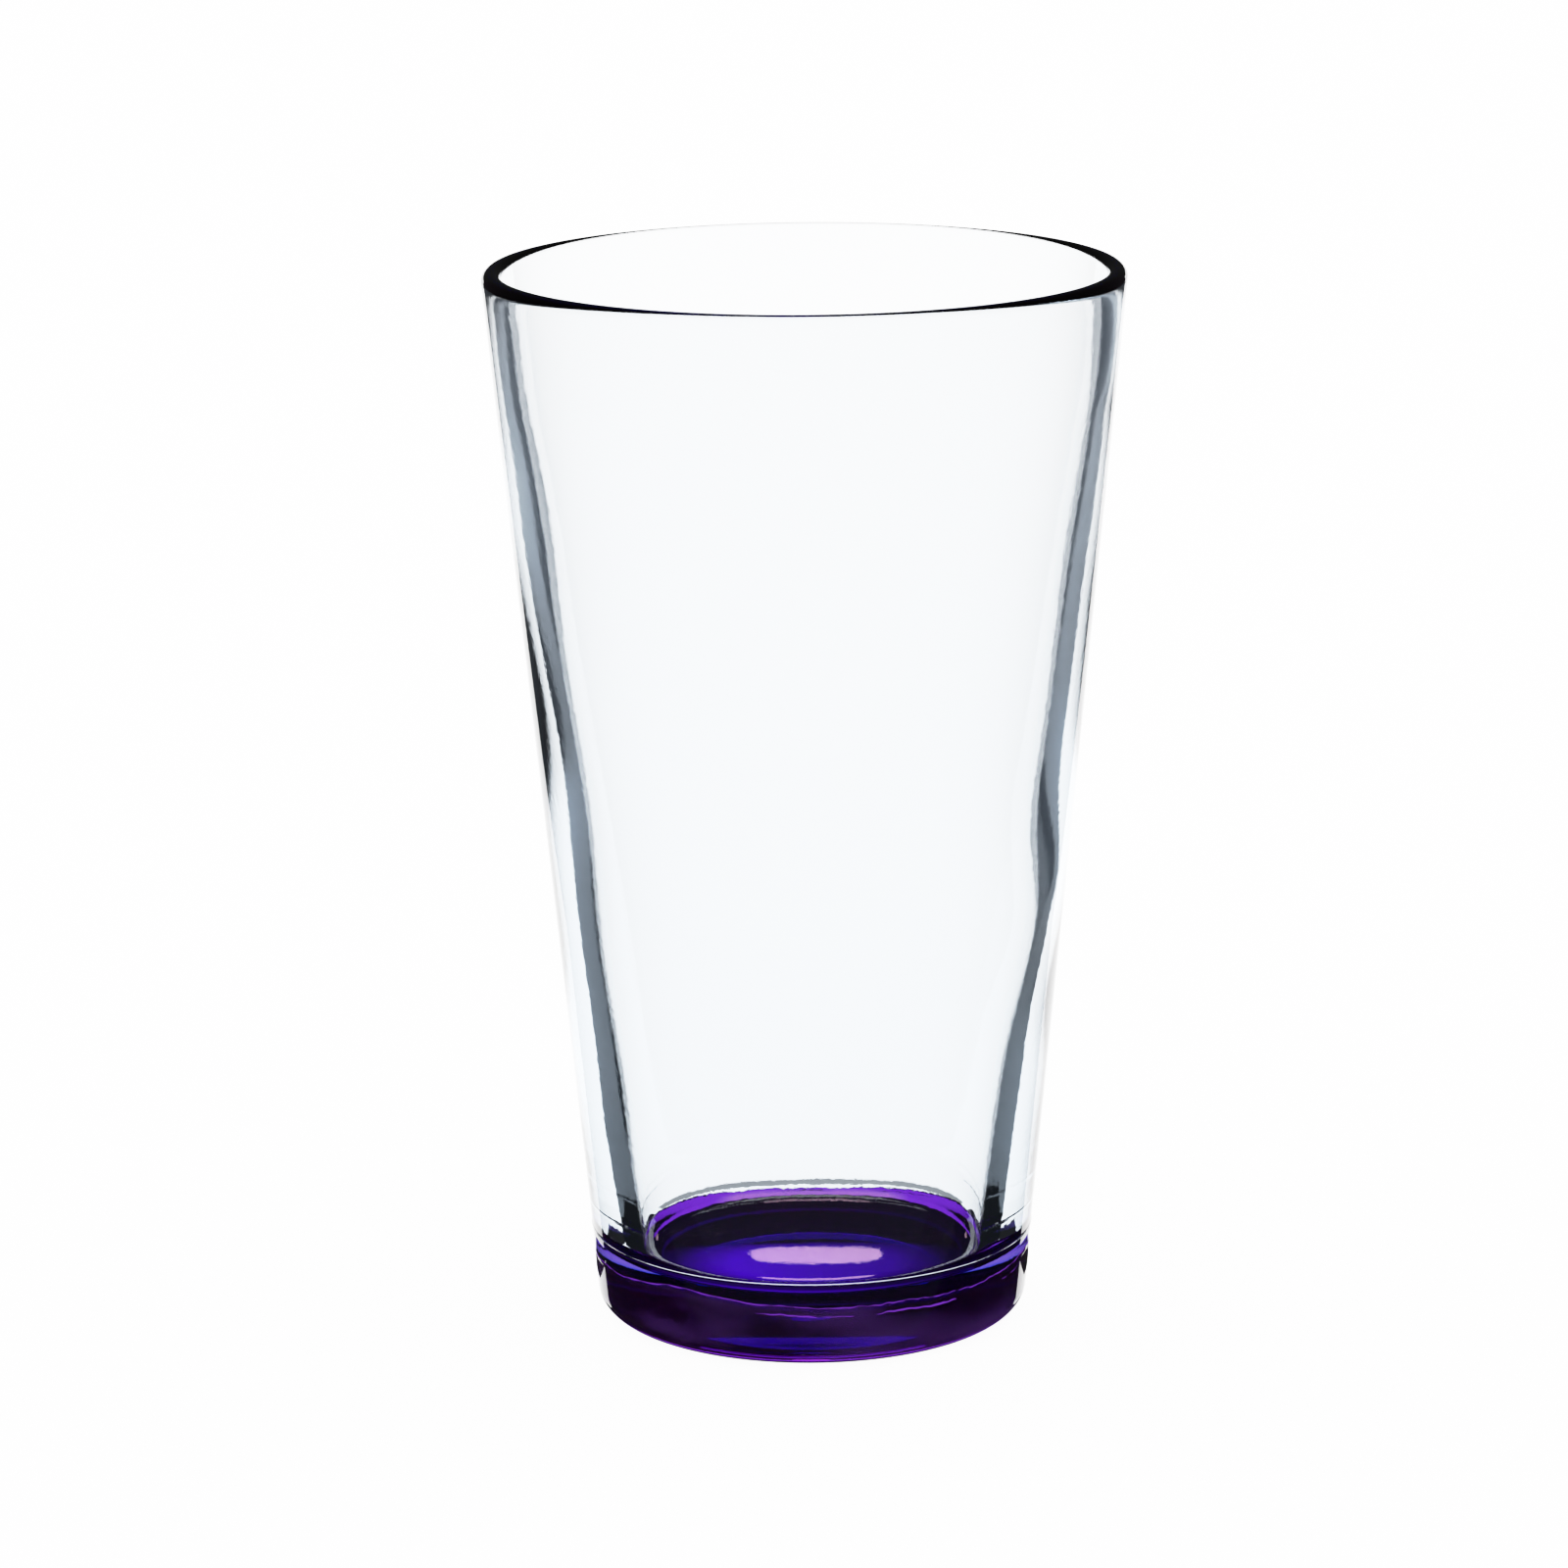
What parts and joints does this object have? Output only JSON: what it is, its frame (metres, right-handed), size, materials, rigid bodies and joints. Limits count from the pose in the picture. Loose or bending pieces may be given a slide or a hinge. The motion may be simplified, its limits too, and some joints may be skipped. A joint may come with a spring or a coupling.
{
  "type": "mixing glass",
  "caption": "Conical bar mixing glass in clear pressed glass, with a rounded mouth, a thick foot and a translucent violet lacquered base.",
  "frame": {"origin": "centre of the bearing ring, on the plane that the glass stands on", "axes": "+Z is the axis of revolution, from the foot up to the mouth; X and Y are any two level directions"},
  "size_m": [0.0887, 0.0888, 0.149],
  "materials": {
    "clear_glass": "fire-polished clear soda-lime glass",
    "violet_lacquer": "translucent glossy violet lacquer film"
  },
  "bodies": {
    "root": {"glass_body": "clear_glass", "base_coat": "violet_lacquer"}
  },
  "joints": []
}
